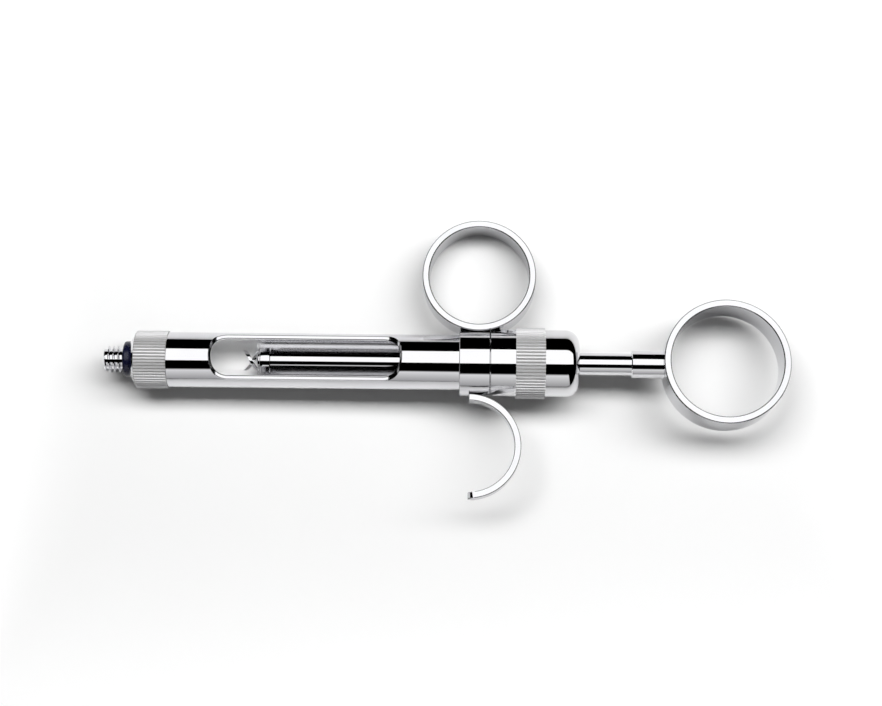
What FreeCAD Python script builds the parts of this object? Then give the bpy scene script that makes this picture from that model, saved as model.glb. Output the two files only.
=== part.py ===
import FreeCAD, Part
import math
import os
import re
import Sketcher

# Dental cartridge syringe with one finger ring, one finger hook and a thumb ring.
# The syringe's axis is X, with the needle end toward -X. X = 0 is the seat of the needle's hub.
# The rings lie in the XY plane and +Z points out of the window. All sizes are in millimetres.

SIZES = {
    # Needle hub
    "hub_thread_dia": 5.8,
    "hub_thread_length": 4.3,
    "hub_neck_step": 0.3,
    "hub_bore": 2.2,
    "hub_mouth_dia": 3.6,
    "hub_mouth_depth": 0.7,
    "hub_edge": 0.35,
    "hub_flange_inset": 0.6,
    "hub_flange_thickness": 1.5,
    "hub_boss_dia": 4.2,
    "hub_boss_reach": 1.1,
    # Washer in front of the nut
    "washer_width": 0.7,
    "washer_thickness": 1.45,
    "washer_bevel": 0.4,
    # Front nut
    "nut_rise": 0.25,
    "nut_face_margin": 0.2,
    "nut_cone_length": 1.95,
    "nut_front_wall": 2.2,
    "nut_length": 8.2,
    "nut_flute_count": 56,
    "nut_flute_depth": 0.25,
    "nut_flute_width": 0.5,
    # Seal rings
    "front_gasket_thickness": 0.6,
    "breech_gasket_thickness": 0.6,
    "breech_gasket_width": 0.7,
    # Spigot at the barrel's front, with the cartridge's seat in its bore
    "spigot_wall": 1.5,
    "spigot_step": 0.6,
    "spigot_length": 4.0,
    "seat_wall": 0.95,
    "seat_depth": 3.2,
    "seat_taper": 1.0,
    # Barrel
    "barrel_dia": 12.0,
    "barrel_wall": 0.8,
    "breech_length": 6.3,
    "breech_edge": 0.2,
    # Window
    "window_start": 18.8,
    "window_length": 41.5,
    "window_depth": 2.6,
    "window_cutter_radius": 4.6,
    # Finger collar, finger ring and finger hook
    "collar_start": 72.5,
    "collar_length": 6.6,
    "collar_wall": 1.25,
    "collar_edge": 0.2,
    "finger_ring_offset": 4.1,
    "finger_ring_dia": 24.6,
    "finger_ring_wall": 1.45,
    "finger_ring_width": 7.2,
    "hook_offset": 2.1,
    "hook_dia": 22.6,
    "hook_wall": 1.4,
    "hook_width": 3.5,
    "hook_tip_bevel": 0.9,
    "finger_ring_seat": 0.85,
    "hook_seat": 0.1,
    "strip_edge": 0.15,
    # Rear cap
    "cap_wall": 1.25,
    "cap_length": 19.1,
    "cap_thread_depth": 6.8,
    "cap_front_edge": 0.2,
    "cap_band_setback": 5.4,
    "cap_band_length": 6.3,
    "cap_band_rise": 0.425,
    "cap_end_radius": 3.0,
    "cap_rear_wall": 2.5,
    "cap_flute_count": 64,
    "cap_flute_depth": 0.28,
    "cap_flute_width": 0.55,
    # Guide bush, its clip and the rod's drag ring
    "bush_wall": 0.7,
    "bush_edge": 0.3,
    "clip_setback": 0.8,
    "clip_thickness": 0.8,
    "clip_rise": 0.45,
    "clip_width": 1.25,
    "clip_gap": 3.0,
    "drag_ring_section": 1.4,
    "drag_ring_bevel": 0.35,
    "drag_ring_setback": 2.4,
    # Plunger
    "head_start": 29.5,
    "head_length": 2.3,
    "head_rise": 0.45,
    "head_front_edge": 0.15,
    "head_rear_edge": 0.35,
    "rod_dia": 4.8,
    "tip_flange_dia": 4.6,
    "tip_flange_thickness": 0.6,
    "tip_shank_dia": 2.4,
    "tip_shank_length": 8.0,
    "prong_reach": 3.7,
    "prong_swing": 4.3,
    "prong_wire": 0.75,
    # Ferrule and thumb ring
    "ferrule_start": 109.5,
    "ferrule_length": 6.8,
    "ferrule_wall": 0.55,
    "ferrule_edge": 0.2,
    "ferrule_grip": 5.5,
    "thumb_ring_dia": 27.1,
    "thumb_ring_wall": 1.5,
    "thumb_ring_width": 9.0,
    # Clearances
    "running_fit": 0.05,
    "seat_fit": 0.02,
    "end_float": 0.1,
}

# Lengths that several pieces share, each worked out from the sizes above
SHARED = {
    "hub_neck_dia": "hub_thread_dia + 2 * hub_neck_step",
    "washer_dia": "hub_neck_dia + 2 * washer_width",
    "nut_face_dia": "washer_dia + 2 * nut_face_margin",
    "nut_dia": "barrel_dia + 2 * nut_rise",
    "spigot_dia": "barrel_dia - 2 * spigot_step",
    "hub_flange_dia": "spigot_dia - 2 * hub_flange_inset",
    "seat_bore": "spigot_dia - 2 * seat_wall",
    "barrel_bore": "barrel_dia - 2 * barrel_wall",
    "breech_gasket_bore": "barrel_dia - 2 * breech_gasket_width",
    "window_sill": "barrel_dia / 2 - window_depth",
    "collar_dia": "barrel_dia + 2 * collar_wall",
    "finger_ring_x": "collar_start + finger_ring_offset",
    "hook_x": "collar_start + hook_offset",
    "cap_dia": "barrel_dia + 2 * cap_wall",
    "cap_band_dia": "cap_dia + 2 * cap_band_rise",
    "bush_dia": "rod_dia + 2 * (drag_ring_section + bush_wall)",
    "clip_dia": "bush_dia + 2 * clip_rise",
    "clip_bore": "clip_dia - 2 * clip_width",
    "head_dia": "rod_dia + 2 * head_rise",
    "ferrule_dia": "rod_dia + 2 * ferrule_wall",
    "washer_end": "washer_thickness",
    "flange_start": "washer_thickness + nut_front_wall",
    "flange_end": "washer_thickness + nut_front_wall + hub_flange_thickness",
    "barrel_start": "washer_thickness + nut_front_wall + hub_flange_thickness + front_gasket_thickness",
    "tube_start": "barrel_start + spigot_length",
    "collar_end": "collar_start + collar_length",
    "barrel_end": "collar_start + collar_length + breech_length",
    "cap_shoulder": "collar_start + collar_length + breech_length + breech_gasket_thickness",
}

# The least length or volume that counts as more than rounding
TINY = 1e-6

doc = FreeCAD.newDocument("syringe")
sheet = doc.addObject("Spreadsheet::Sheet", "Sizes")
sheet.Label = "Sizes"
workings = doc.addObject("Spreadsheet::Sheet", "Workings")


def fill_sheet():
    """Writes each size and each shared length in a row of its own, with its name as the alias."""
    for row, (name, value) in enumerate(SIZES.items(), start=1):
        sheet.set("A%d" % row, name)
        sheet.set("B%d" % row, str(value))
        sheet.setAlias("B%d" % row, name)
    doc.recompute()
    for row, (name, formula) in enumerate(SHARED.items(), start=len(SIZES) + 1):
        sheet.set("A%d" % row, name)
        sheet.set("B%d" % row, "=" + formula)
        sheet.setAlias("B%d" % row, name)
        doc.recompute()


NAMES = sorted(list(SIZES) + list(SHARED), key=len, reverse=True)
NAME_PATTERN = re.compile(r"\b(" + "|".join(NAMES) + r")\b")


def bound(formula):
    """A formula in the sheet's names, as another object's expression has to state it."""
    return NAME_PATTERN.sub(r"Sizes.\1", formula)


def number(formula):
    """What a formula in the sheet's names comes to, worked out on a sheet of its own."""
    workings.set("A1", "=" + bound(formula))
    workings.recompute()
    return float(workings.get("A1"))


def bind(thing, prop, formula):
    """Ties one property of an object to the sheet."""
    thing.setExpression(prop, bound(formula))


def origin_item(body, role):
    """The body's own origin plane or axis with the given role."""
    return [item for item in body.Origin.OriginFeatures if item.Role == role][0]


def new_body(name):
    body = doc.addObject("PartDesign::Body", name)
    body.Label = name
    return body


def new_sketch(body, name, role):
    """An empty sketch on one of the body's own origin planes."""
    sketch = body.newObject("Sketcher::SketchObject", name)
    sketch.AttachmentSupport = [(origin_item(body, role), "")]
    sketch.MapMode = "FlatFace"
    return sketch


def pin_point(sketch, edge, end, across, up):
    """Holds one end of an edge at two distances from the sketch's origin, both tied to the sheet."""
    for kind, formula in (("DistanceX", across), ("DistanceY", up)):
        place = number(formula)
        index = sketch.addConstraint(Sketcher.Constraint(kind, -1, 1, edge, end, place))
        sketch.setExpression("Constraints[%d]" % index, bound(formula))


def short_arc(start, finish, radius, side):
    """The short arc between two points, drawn anticlockwise, bulging to the given side of the chord."""
    chord = finish - start
    normal = FreeCAD.Vector(-chord.y, chord.x, 0).normalize()
    reach = math.sqrt(radius * radius - chord.Length ** 2 / 4)
    centre = (start + finish) / 2 - normal * (side * reach)
    first, last = (finish, start) if side > 0 else (start, finish)
    angles = [math.atan2(point.y - centre.y, point.x - centre.x) for point in (first, last)]
    if angles[1] < angles[0]:
        angles[1] += 2 * math.pi
    circle = Part.Circle(centre, FreeCAD.Vector(0, 0, 1), radius)
    return Part.ArcOfCircle(circle, *angles)


def draw_outline(sketch, points, arcs=None):
    """Draws one closed outline and ties each corner to the sheet.

    points holds one (across, up) pair of formulas for each corner. arcs gives, for the edge that leaves a
    corner, the arc's radius as a formula and the side it bulges to: 1 for left of the chord, -1 for right.
    """
    arcs = arcs or {}
    corners = [FreeCAD.Vector(number(across), number(up), 0) for across, up in points]
    ends = []
    for i, start in enumerate(corners):
        finish = corners[(i + 1) % len(corners)]
        if i in arcs:
            formula, side = arcs[i]
            edge = sketch.addGeometry(short_arc(start, finish, number(formula), side), False)
            ends.append((edge, 2, 1) if side > 0 else (edge, 1, 2))
            index = sketch.addConstraint(Sketcher.Constraint("Radius", edge, number(formula)))
            sketch.setExpression("Constraints[%d]" % index, bound(formula))
        else:
            edge = sketch.addGeometry(Part.LineSegment(start, finish), False)
            ends.append((edge, 1, 2))
    for i, (edge, start_end, finish_end) in enumerate(ends):
        next_edge, next_start, _ = ends[(i + 1) % len(ends)]
        sketch.addConstraint(Sketcher.Constraint("Coincident", edge, finish_end, next_edge, next_start))
        pin_point(sketch, edge, start_end, *points[i])


def draw_circle(sketch, across, up, radius):
    """Draws a circle whose centre and radius are tied to the sheet."""
    centre = FreeCAD.Vector(number(across), number(up), 0)
    edge = sketch.addGeometry(Part.Circle(centre, FreeCAD.Vector(0, 0, 1), number(radius)), False)
    pin_point(sketch, edge, 3, across, up)
    index = sketch.addConstraint(Sketcher.Constraint("Radius", edge, number(radius)))
    sketch.setExpression("Constraints[%d]" % index, bound(radius))


def turn(body, points, arcs=None):
    """Turns an outline of (place along X, radius) corners round the syringe's axis."""
    sketch = new_sketch(body, body.Name + "_profile", "XY_Plane")
    draw_outline(sketch, points, arcs)
    feature = body.newObject("PartDesign::Revolution", body.Name + "_turned")
    feature.Profile = sketch
    feature.ReferenceAxis = (sketch, ["H_Axis"])
    feature.Angle = 360
    return feature


def turned_piece(name, points, arcs=None):
    body = new_body(name)
    turn(body, points, arcs)
    return body


def cut_less(body, before, what):
    """Makes sure that a cut took something off."""
    doc.recompute()
    if not body.Shape.Volume < before - TINY:
        raise ValueError("%s cut nothing from %s" % (what, body.Name))


def pocket_through(body, sketch, name):
    """Cuts a sketch's outline through the whole body, both ways from the sketch's plane."""
    doc.recompute()
    before = body.Shape.Volume
    cut = body.newObject("PartDesign::Pocket", name)
    cut.Profile = sketch
    cut.Type = "ThroughAll"
    cut.Midplane = True
    cut_less(body, before, name)
    return cut


def flute_band(body, start, length, radius, count, depth, width):
    """Cuts straight V flutes along X, evenly spaced round a turned band."""
    doc.recompute()
    before = body.Shape.Volume
    sketch = new_sketch(body, body.Name + "_flute", "YZ_Plane")
    bind(sketch, "AttachmentOffset.Base.z", start)
    draw_outline(sketch, [
        ("0", "%s - %s" % (radius, depth)),
        ("%s / 2" % width, radius),
        ("%s / 2" % width, "%s + %s" % (radius, depth)),
        ("-%s / 2" % width, "%s + %s" % (radius, depth)),
        ("-%s / 2" % width, radius),
    ])
    cut = body.newObject("PartDesign::Pocket", body.Name + "_flute_cut")
    cut.Profile = sketch
    cut.Type = "Length"
    cut.Reversed = True
    bind(cut, "Length", length)
    cut_less(body, before, cut.Name)
    pattern = body.newObject("PartDesign::PolarPattern", body.Name + "_flutes")
    pattern.Originals = [cut]
    pattern.Axis = (origin_item(body, "X_Axis"), [""])
    pattern.Angle = 360
    bind(pattern, "Occurrences", count)
    body.Tip = pattern


# Needle hub: a bored nipple, a flange held inside the nut and the boss that dents the cartridge's diaphragm
def needle_hub():
    return turned_piece("needle_hub", [
        ("-hub_thread_length", "hub_mouth_dia / 2"),
        ("-hub_thread_length", "hub_thread_dia / 2 - hub_edge"),
        ("hub_edge - hub_thread_length", "hub_thread_dia / 2"),
        ("0", "hub_thread_dia / 2"),
        ("0", "hub_neck_dia / 2"),
        ("flange_start", "hub_neck_dia / 2"),
        ("flange_start", "hub_flange_dia / 2"),
        ("flange_end", "hub_flange_dia / 2"),
        ("flange_end", "hub_boss_dia / 2"),
        ("barrel_start + spigot_wall + hub_boss_reach", "hub_boss_dia / 2"),
        ("barrel_start + spigot_wall + hub_boss_reach", "hub_bore / 2"),
        ("hub_mouth_depth - hub_thread_length", "hub_bore / 2"),
    ])


def hub_washer():
    return turned_piece("hub_washer", [
        ("0", "hub_neck_dia / 2 + seat_fit"),
        ("0", "washer_dia / 2 - washer_bevel"),
        ("washer_bevel", "washer_dia / 2"),
        ("washer_end", "washer_dia / 2"),
        ("washer_end", "hub_neck_dia / 2 + seat_fit"),
    ])


def front_nut():
    """A union nut: a conical front that holds the hub's flange, and a fluted skirt over the barrel's spigot."""
    body = turned_piece("front_nut", [
        ("washer_end", "hub_neck_dia / 2 + running_fit"),
        ("washer_end", "nut_face_dia / 2"),
        ("washer_end + nut_cone_length", "nut_dia / 2"),
        ("washer_end + nut_length", "nut_dia / 2"),
        ("washer_end + nut_length", "spigot_dia / 2 + running_fit"),
        ("flange_start", "spigot_dia / 2 + running_fit"),
        ("flange_start", "hub_neck_dia / 2 + running_fit"),
    ])
    flute_band(body, "washer_end + nut_cone_length", "nut_length - nut_cone_length", "nut_dia / 2",
               "nut_flute_count", "nut_flute_depth", "nut_flute_width")
    return body


def front_gasket():
    return turned_piece("front_gasket", [
        ("flange_end", "hub_boss_dia / 2 + seat_fit"),
        ("flange_end", "hub_flange_dia / 2"),
        ("barrel_start", "hub_flange_dia / 2"),
        ("barrel_start", "hub_boss_dia / 2 + seat_fit"),
    ])


def barrel_spigot():
    """The front bush, pressed into the tube: its shoulder meets the tube and its bore centres the cartridge."""
    seat_end = "(barrel_start + spigot_wall + seat_depth)"
    return turned_piece("barrel_spigot", [
        ("barrel_start", "hub_boss_dia / 2 + running_fit"),
        ("barrel_start", "spigot_dia / 2"),
        ("tube_start", "spigot_dia / 2"),
        ("tube_start", "barrel_bore / 2 - seat_fit"),
        (seat_end + " + seat_taper", "barrel_bore / 2 - seat_fit"),
        (seat_end, "seat_bore / 2"),
        ("barrel_start + spigot_wall", "seat_bore / 2"),
        ("barrel_start + spigot_wall", "hub_boss_dia / 2 + running_fit"),
    ])


def barrel():
    """The tube, with a window milled across its top."""
    body = turned_piece("barrel", [
        ("tube_start", "barrel_bore / 2"),
        ("tube_start", "barrel_dia / 2"),
        ("barrel_end - breech_edge", "barrel_dia / 2"),
        ("barrel_end", "barrel_dia / 2 - breech_edge"),
        ("barrel_end", "barrel_bore / 2"),
    ])
    # The cutter's round flank runs out at each end of the flat sill
    rise = "barrel_dia / 2 - window_sill"
    run = "sqrt(window_cutter_radius ^ 2 - (window_cutter_radius - (%s)) ^ 2)" % rise
    above = "barrel_dia"
    sketch = new_sketch(body, "window_profile", "XZ_Plane")
    draw_outline(sketch, [
        ("window_start", "barrel_dia / 2"),
        ("window_start + " + run, "window_sill"),
        ("window_start + window_length - " + run, "window_sill"),
        ("window_start + window_length", "barrel_dia / 2"),
        ("window_start + window_length", above),
        ("window_start", above),
    ], {0: ("window_cutter_radius", -1), 2: ("window_cutter_radius", -1)})
    pocket_through(body, sketch, "window")
    return body


def finger_collar():
    return turned_piece("finger_collar", [
        ("collar_start", "barrel_dia / 2 + seat_fit"),
        ("collar_start", "collar_dia / 2 - collar_edge"),
        ("collar_start + collar_edge", "collar_dia / 2"),
        ("collar_end - collar_edge", "collar_dia / 2"),
        ("collar_end", "collar_dia / 2 - collar_edge"),
        ("collar_end", "barrel_dia / 2 + seat_fit"),
    ])


def pad_strip(body, sketch, width):
    """Gives a strip's outline its width, centred on the rings' plane."""
    pad = body.newObject("PartDesign::Pad", body.Name + "_strip")
    pad.Profile = sketch
    pad.Midplane = True
    bind(pad, "Length", width)
    doc.recompute()
    return pad


def bevel(body, base, name, size, wanted):
    """Bevels those edges of a feature that the test picks out."""
    picked = ["Edge%d" % (i + 1) for i, edge in enumerate(base.Shape.Edges) if wanted(edge)]
    chamfer = body.newObject("PartDesign::Chamfer", name)
    chamfer.Base = (base, picked)
    bind(chamfer, "Size", size)
    doc.recompute()
    return chamfer


def break_rims(body, base):
    """Breaks the long, round edges of a bent strip."""
    bevel(body, base, body.Name + "_rims", "strip_edge", lambda edge: isinstance(edge.Curve, Part.Circle))


def round_strip(name, across, up, dia, wall, width):
    """A closed ring bent from flat strip."""
    body = new_body(name)
    sketch = new_sketch(body, name + "_outline", "XY_Plane")
    draw_circle(sketch, across, up, "%s / 2" % dia)
    draw_circle(sketch, across, up, "%s / 2 - %s" % (dia, wall))
    break_rims(body, pad_strip(body, sketch, width))
    return body


def cope_to_collar(body, middle, half_length):
    """Hollows a grip's outer face so that it beds on the collar's round side."""
    doc.recompute()
    before = body.Shape.Volume
    sketch = new_sketch(body, body.Name + "_bed", "XY_Plane")
    radius = "collar_dia / 2 + seat_fit"
    draw_outline(sketch, [
        ("%s - %s" % (middle, half_length), "0"),
        ("%s + %s" % (middle, half_length), "0"),
        ("%s + %s" % (middle, half_length), radius),
        ("%s - %s" % (middle, half_length), radius),
    ])
    cut = body.newObject("PartDesign::Groove", body.Name + "_cope")
    cut.Profile = sketch
    cut.ReferenceAxis = (sketch, ["H_Axis"])
    cut.Angle = 360
    cut_less(body, before, cut.Name)


def finger_ring():
    body = round_strip("finger_ring", "finger_ring_x", "(collar_dia + finger_ring_dia) / 2 - finger_ring_seat",
                       "finger_ring_dia", "finger_ring_wall", "finger_ring_width")
    cope_to_collar(body, "finger_ring_x", "finger_ring_dia / 2")
    return body


def finger_hook():
    """A half ring bent from flat strip, open toward the needle end."""
    body = new_body("finger_hook")
    centre = "-((collar_dia + hook_dia) / 2 - hook_seat)"
    outer = "hook_dia / 2"
    inner = "(hook_dia / 2 - hook_wall)"
    sketch = new_sketch(body, "finger_hook_outline", "XY_Plane")
    draw_outline(sketch, [
        ("hook_x", "%s - %s" % (centre, outer)),
        ("hook_x + " + outer, centre),
        ("hook_x", "%s + %s" % (centre, outer)),
        ("hook_x", "%s + %s" % (centre, inner)),
        ("hook_x + " + inner, centre),
        ("hook_x", "%s - %s" % (centre, inner)),
    ], {0: (outer, -1), 1: (outer, -1), 3: (inner, 1), 4: (inner, 1)})
    strip = pad_strip(body, sketch, "hook_width")
    end, middle = number("hook_x"), number(centre)

    def on_tip(edge):
        """Whether an edge runs across the strip's wall at its free end."""
        place = edge.CenterOfMass
        return abs(place.x - end) < TINY and edge.BoundBox.YLength > TINY and place.y < middle

    break_rims(body, bevel(body, strip, "finger_hook_tip", "hook_tip_bevel", on_tip))
    cope_to_collar(body, "hook_x", outer)
    return body


def rear_cap():
    """The screw cap: threaded over the breech, bored for the guide bush, with a fluted band and a round end."""
    front = "(cap_shoulder - cap_thread_depth)"
    end = front + " + cap_length"
    band = front + " + cap_band_setback"
    body = turned_piece("rear_cap", [
        (front, "barrel_dia / 2 + running_fit"),
        (front, "cap_dia / 2 - cap_front_edge"),
        (front + " + cap_front_edge", "cap_dia / 2"),
        (band, "cap_dia / 2"),
        (band, "cap_band_dia / 2"),
        (band + " + cap_band_length", "cap_band_dia / 2"),
        (band + " + cap_band_length", "cap_dia / 2"),
        (end + " - cap_end_radius", "cap_dia / 2"),
        (end, "cap_dia / 2 - cap_end_radius"),
        (end, "rod_dia / 2 + running_fit"),
        (end + " - cap_rear_wall", "rod_dia / 2 + running_fit"),
        (end + " - cap_rear_wall", "bush_dia / 2 + running_fit"),
        ("cap_shoulder + clip_setback + clip_thickness", "bush_dia / 2 + running_fit"),
        ("cap_shoulder + clip_setback + clip_thickness", "clip_dia / 2"),
        ("cap_shoulder + clip_setback", "clip_dia / 2"),
        ("cap_shoulder + clip_setback", "bush_dia / 2 + running_fit"),
        ("cap_shoulder", "bush_dia / 2 + running_fit"),
        ("cap_shoulder", "barrel_dia / 2 + running_fit"),
    ], {7: ("cap_end_radius", 1)})
    flute_band(body, band, "cap_band_length", "cap_band_dia / 2",
               "cap_flute_count", "cap_flute_depth", "cap_flute_width")
    return body


def breech_gasket():
    return turned_piece("breech_gasket", [
        ("barrel_end", "breech_gasket_bore / 2"),
        ("barrel_end", "barrel_dia / 2"),
        ("cap_shoulder", "barrel_dia / 2"),
        ("cap_shoulder", "breech_gasket_bore / 2"),
    ])


def bush_clip():
    """A sprung ring, open at one side, that snaps into the cap in front of the bush."""
    start = "cap_shoulder + clip_setback"
    body = turned_piece("bush_clip", [
        (start, "clip_bore / 2"),
        (start, "clip_dia / 2 - seat_fit"),
        (start + " + clip_thickness", "clip_dia / 2 - seat_fit"),
        (start + " + clip_thickness", "clip_bore / 2"),
    ])
    sketch = new_sketch(body, "bush_clip_gap", "XY_Plane")
    draw_outline(sketch, [
        (start + " - clip_thickness", "0"),
        (start + " + 2 * clip_thickness", "0"),
        (start + " + 2 * clip_thickness", "clip_dia"),
        (start + " - clip_thickness", "clip_dia"),
    ])
    doc.recompute()
    before = body.Shape.Volume
    cut = body.newObject("PartDesign::Pocket", "bush_clip_mouth")
    cut.Profile = sketch
    cut.Type = "Length"
    cut.Midplane = True
    bind(cut, "Length", "clip_gap")
    cut_less(body, before, cut.Name)
    return body


CAP_END = "(cap_shoulder - cap_thread_depth + cap_length)"
BUSH_END = "(%s - cap_rear_wall - end_float)" % CAP_END
DRAG_RING_X = "(%s - drag_ring_setback)" % BUSH_END


def guide_bush():
    """The bush that the rod runs in, with a groove inside for the drag ring."""
    start = "cap_shoulder + clip_setback + clip_thickness + end_float"
    bore = "rod_dia / 2 + running_fit"
    groove = "rod_dia / 2 + drag_ring_section + running_fit + seat_fit"
    half = "drag_ring_section / 2 + running_fit"
    return turned_piece("guide_bush", [
        (start, bore),
        (start, "bush_dia / 2 - bush_edge"),
        (start + " + bush_edge", "bush_dia / 2"),
        (BUSH_END + " - bush_edge", "bush_dia / 2"),
        (BUSH_END, "bush_dia / 2 - bush_edge"),
        (BUSH_END, bore),
        ("%s + %s" % (DRAG_RING_X, half), bore),
        ("%s + %s" % (DRAG_RING_X, half), groove),
        ("%s - (%s)" % (DRAG_RING_X, half), groove),
        ("%s - (%s)" % (DRAG_RING_X, half), bore),
    ])


def rod_drag_ring():
    """The rubber ring that drags on the rod, of square section with bevelled corners."""
    half = "drag_ring_section / 2"
    near = "(rod_dia / 2 + seat_fit)"
    far = "(%s + drag_ring_section)" % near
    return turned_piece("rod_drag_ring", [
        ("%s - %s + drag_ring_bevel" % (DRAG_RING_X, half), near),
        ("%s - %s" % (DRAG_RING_X, half), near + " + drag_ring_bevel"),
        ("%s - %s" % (DRAG_RING_X, half), far + " - drag_ring_bevel"),
        ("%s - %s + drag_ring_bevel" % (DRAG_RING_X, half), far),
        ("%s + %s - drag_ring_bevel" % (DRAG_RING_X, half), far),
        ("%s + %s" % (DRAG_RING_X, half), far + " - drag_ring_bevel"),
        ("%s + %s" % (DRAG_RING_X, half), near + " + drag_ring_bevel"),
        ("%s + %s - drag_ring_bevel" % (DRAG_RING_X, half), near),
    ])


def plunger_rod():
    """The rod, bored at its front for the tip's shank and held at its rear in the ferrule."""
    return turned_piece("plunger_rod", [
        ("head_start + head_length", "tip_shank_dia / 2 + seat_fit"),
        ("head_start + head_length", "rod_dia / 2"),
        ("ferrule_start + ferrule_grip", "rod_dia / 2"),
        ("ferrule_start + ferrule_grip", "0"),
        ("head_start + tip_shank_length + end_float", "0"),
        ("head_start + tip_shank_length + end_float", "tip_shank_dia / 2 + seat_fit"),
    ])


def plunger_head():
    return turned_piece("plunger_head", [
        ("head_start", "tip_shank_dia / 2 + seat_fit"),
        ("head_start", "head_dia / 2 - head_front_edge"),
        ("head_start + head_front_edge", "head_dia / 2"),
        ("head_start + head_length - head_rear_edge", "head_dia / 2"),
        ("head_start + head_length", "head_dia / 2 - head_rear_edge"),
        ("head_start + head_length", "tip_shank_dia / 2 + seat_fit"),
    ])


def harpoon_tip():
    """A flanged screw with two prongs of six-sided wire that twist half a turn round each other."""
    body = turned_piece("harpoon_tip", [
        ("head_start - tip_flange_thickness", "0"),
        ("head_start - tip_flange_thickness", "tip_flange_dia / 2 - tip_flange_thickness / 2"),
        ("head_start - tip_flange_thickness / 2", "tip_flange_dia / 2"),
        ("head_start", "tip_flange_dia / 2"),
        ("head_start", "tip_shank_dia / 2"),
        ("head_start + tip_shank_length", "tip_shank_dia / 2"),
        ("head_start + tip_shank_length", "0"),
    ])
    sketch = new_sketch(body, "prong_section", "XZ_Plane")
    root = "head_start - tip_flange_thickness / 2"
    corner = "prong_wire / 2"
    flat = "sqrt(3) * prong_wire / 4"
    draw_outline(sketch, [
        ("%s + %s" % (root, corner), "prong_swing / 2"),
        ("%s + %s / 2" % (root, corner), "prong_swing / 2 + %s" % flat),
        ("%s - %s / 2" % (root, corner), "prong_swing / 2 + %s" % flat),
        ("%s - %s" % (root, corner), "prong_swing / 2"),
        ("%s - %s / 2" % (root, corner), "prong_swing / 2 - %s" % flat),
        ("%s + %s / 2" % (root, corner), "prong_swing / 2 - %s" % flat),
    ])
    doc.recompute()
    prong = body.newObject("PartDesign::AdditiveHelix", "prong")
    prong.Profile = sketch
    prong.ReferenceAxis = (sketch, ["H_Axis"])
    prong.Mode = "height-turns-angle"
    prong.Reversed = True
    prong.Turns = 0.5
    bind(prong, "Height", "prong_reach")
    doc.recompute()
    pair = body.newObject("PartDesign::PolarPattern", "prong_pair")
    pair.Originals = [prong]
    pair.Axis = (origin_item(body, "X_Axis"), [""])
    pair.Angle = 360
    pair.Occurrences = 2
    body.Tip = pair
    return body


THUMB_X = "(ferrule_start + ferrule_length + thumb_ring_dia / 2)"


def thumb_ferrule():
    """The sleeve on the rod's rear end, whose far end is hollowed to bed on the thumb ring."""
    body = turned_piece("thumb_ferrule", [
        ("ferrule_start", "rod_dia / 2 + seat_fit"),
        ("ferrule_start", "ferrule_dia / 2 - ferrule_edge"),
        ("ferrule_start + ferrule_edge", "ferrule_dia / 2"),
        ("ferrule_start + ferrule_length + ferrule_dia / 4", "ferrule_dia / 2"),
        ("ferrule_start + ferrule_length + ferrule_dia / 4", "0"),
        ("ferrule_start + ferrule_grip + end_float", "0"),
        ("ferrule_start + ferrule_grip + end_float", "rod_dia / 2 + seat_fit"),
    ])
    sketch = new_sketch(body, "thumb_ferrule_bed", "XY_Plane")
    draw_circle(sketch, THUMB_X, "0", "thumb_ring_dia / 2 + seat_fit")
    pocket_through(body, sketch, "thumb_ferrule_cope")
    return body


def thumb_ring():
    return round_strip("thumb_ring", THUMB_X, "0", "thumb_ring_dia", "thumb_ring_wall", "thumb_ring_width")


PIECES = (
    needle_hub, hub_washer, front_nut, front_gasket, barrel_spigot, barrel,
    finger_collar, finger_ring, finger_hook,
    rear_cap, breech_gasket, bush_clip, guide_bush, rod_drag_ring,
    plunger_rod, plunger_head, harpoon_tip, thumb_ferrule, thumb_ring,
)


def check(bodies):
    """Refuses to write anything if an object failed or a piece isn't one valid solid."""
    for thing in doc.Objects:
        if "Invalid" in thing.State or "Error" in thing.State:
            raise ValueError("%s did not rebuild: %s" % (thing.Name, thing.State))
    for body in bodies:
        shape = body.Shape
        if shape.isNull() or not shape.isValid() or len(shape.Solids) != 1:
            raise ValueError("%s is not one valid solid" % body.Label)


fill_sheet()
bodies = [piece() for piece in PIECES]
doc.removeObject("Workings")
doc.recompute()
check(bodies)
os.makedirs("parts", exist_ok=True)
for body in bodies:
    body.Shape.exportStep("parts/%s.step" % body.Label)
    box = body.Shape.BoundBox
    print("%-15s %8.2f mm3  x %6.2f to %6.2f" % (body.Label, body.Shape.Volume, box.XMin, box.XMax))
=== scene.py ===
import logging
import math
from dataclasses import dataclass
from enum import Enum
from typing import Callable

import bmesh
import bpy
from mathutils import Matrix, Vector


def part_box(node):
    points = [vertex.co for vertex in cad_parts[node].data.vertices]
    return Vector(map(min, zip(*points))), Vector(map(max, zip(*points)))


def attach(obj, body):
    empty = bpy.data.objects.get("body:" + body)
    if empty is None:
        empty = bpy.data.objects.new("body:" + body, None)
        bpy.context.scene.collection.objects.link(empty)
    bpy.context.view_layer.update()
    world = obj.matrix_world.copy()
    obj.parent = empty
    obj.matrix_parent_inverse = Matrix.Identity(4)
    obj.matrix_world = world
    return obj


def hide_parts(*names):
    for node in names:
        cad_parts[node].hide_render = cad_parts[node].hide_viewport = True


# A polished dental cartridge syringe with a finger ring, a finger hook and a thumb ring, seen from above on
# a pale bench. The syringe's axis is X, the needle end is toward -X and the window faces +Z. Sizes are in
# millimetres, and each mesh is brought to metres as it is finished. Only the floor and the studio are in
# metres from the start.

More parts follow.
